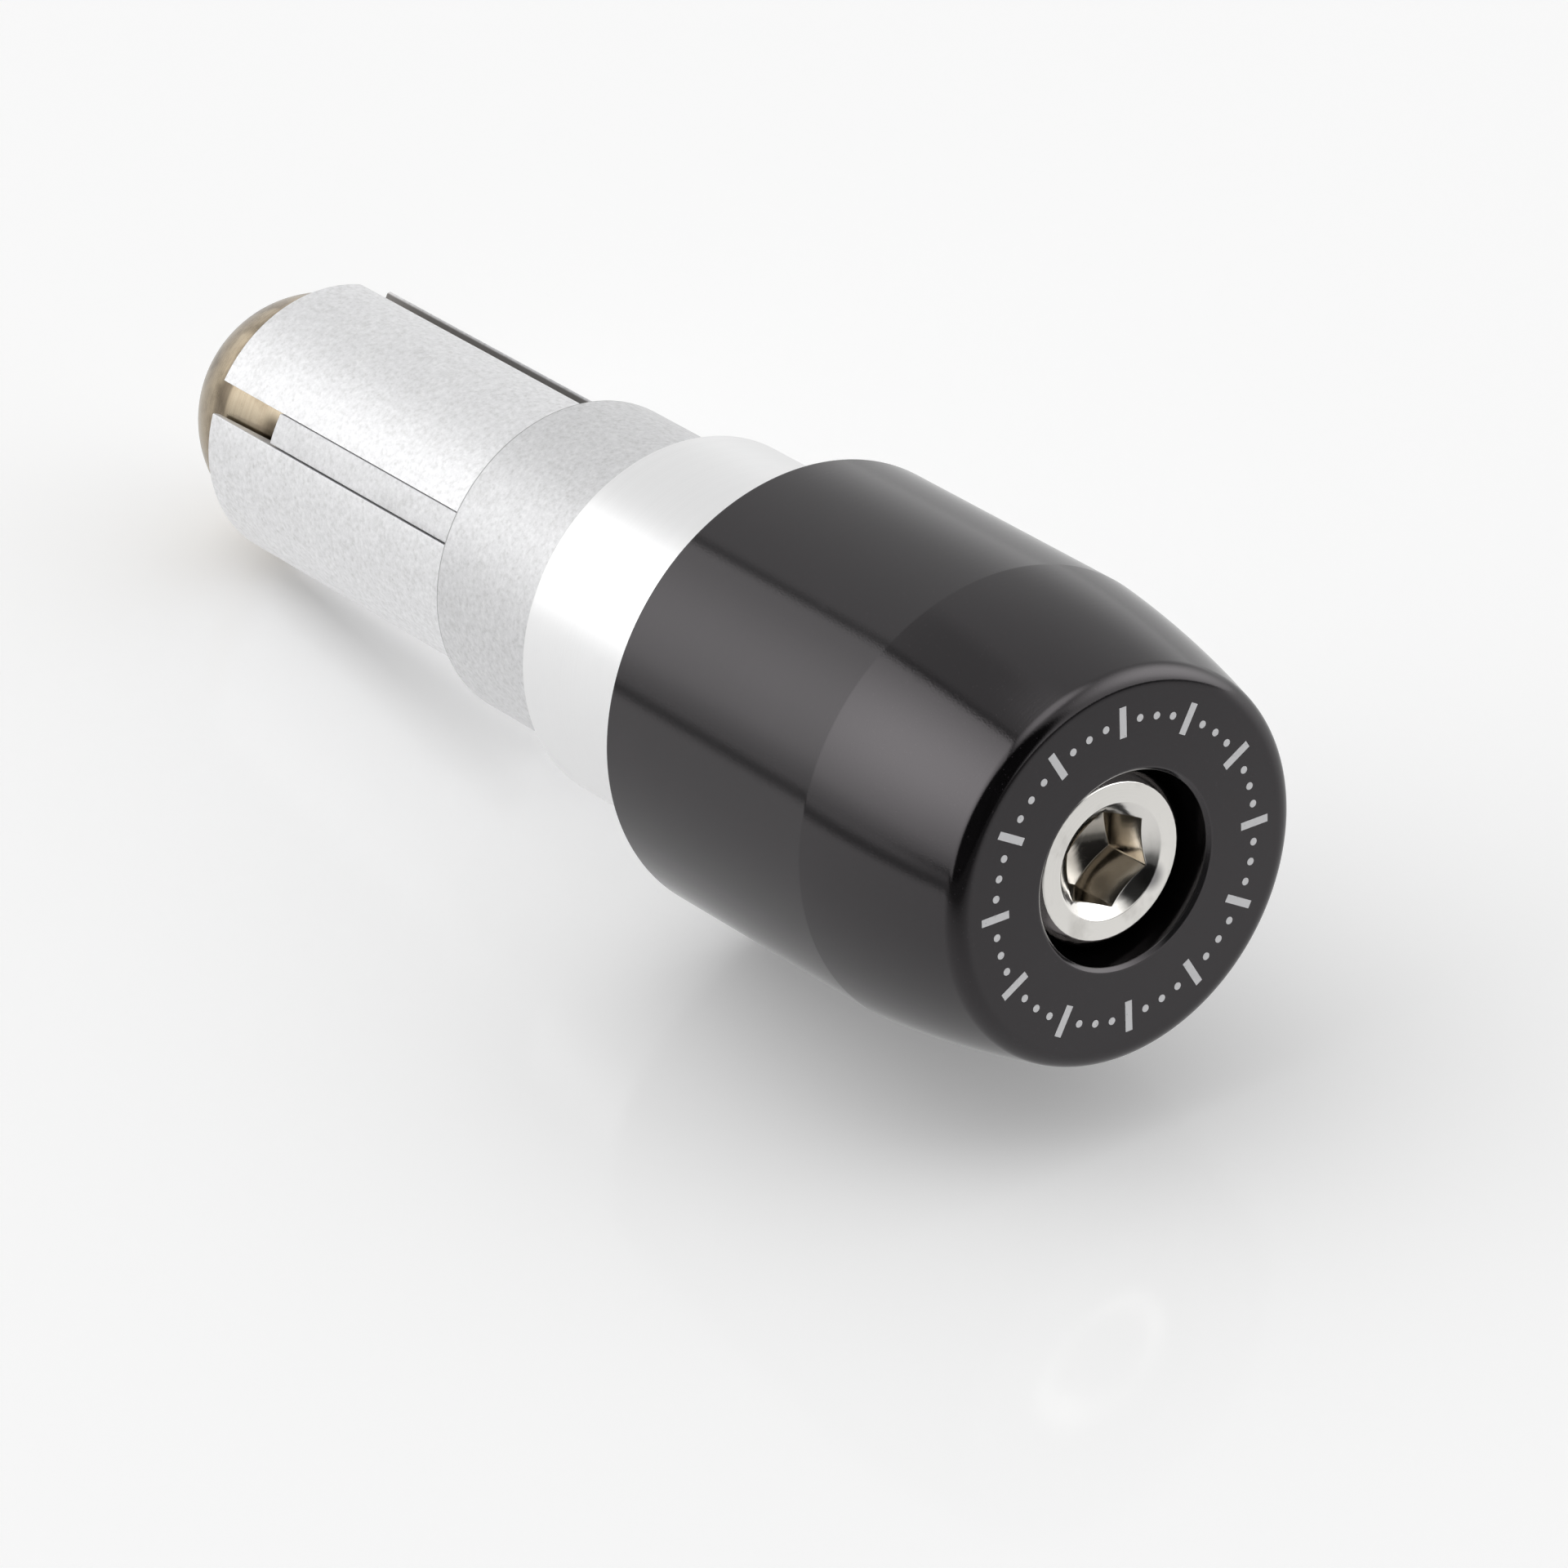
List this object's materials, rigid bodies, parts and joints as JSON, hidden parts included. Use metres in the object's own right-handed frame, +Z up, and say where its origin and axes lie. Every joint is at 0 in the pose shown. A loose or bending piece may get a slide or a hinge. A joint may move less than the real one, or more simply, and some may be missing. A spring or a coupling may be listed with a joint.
{
  "type": "bar end weight",
  "caption": "Bar end weight for a tube handlebar: a turned weight, spacer and keyed collar clamped inside the bar by a split sleeve that a screw and wedge nut spread.",
  "frame": {"origin": "on the axis, at the collar's rear face where the end of the handlebar tube butts", "axes": "+X out of the bar along the axis, towards the weight's front face; +Z up with the slots turned as in the picture"},
  "size_m": [0.0814, 0.0264, 0.0264],
  "materials": {
    "black_anodised": "black anodised, soft gloss",
    "bright_turned": "fine turned, bright",
    "blasted_aluminium": "matt, blasted",
    "yellow_nut": "dull, turned",
    "screw_steel": "bright stainless"
  },
  "bodies": {
    "weight_stack": {"end_weight": "black_anodised", "spacer_ring": "bright_turned", "collar": "blasted_aluminium"},
    "screw": {"clamp_screw": "screw_steel"},
    "nut": {"wedge_nut": "yellow_nut"},
    "upper_shell": {"shell_upper": "blasted_aluminium"},
    "lower_shell": {"shell_lower": "blasted_aluminium"}
  },
  "joints": [
    {"name": "screw_turn", "type": "hinge", "parent": "weight_stack", "child": "screw", "pos_m": [0.0502, 0, 0], "axis": [-1, 0, 0], "range_deg": [0, 720]},
    {"name": "nut_draw", "type": "slide", "parent": "weight_stack", "child": "nut", "axis": [1, 0, 0], "range_m": [0, 0.002]},
    {"name": "upper_spread", "type": "slide", "parent": "weight_stack", "child": "upper_shell", "axis": [0, 0.5, 0.866], "range_m": [0, 0.000292]},
    {"name": "lower_spread", "type": "slide", "parent": "weight_stack", "child": "lower_shell", "axis": [0, -0.5, -0.866], "range_m": [0, 0.000292]}
  ],
  "couplings": [
    {"joint": "screw_turn", "follows": "nut_draw", "rad_per_m": 6283.2},
    {"joint": "upper_spread", "follows": "nut_draw", "ratio": 0.14589},
    {"joint": "lower_spread", "follows": "nut_draw", "ratio": 0.14589}
  ]
}
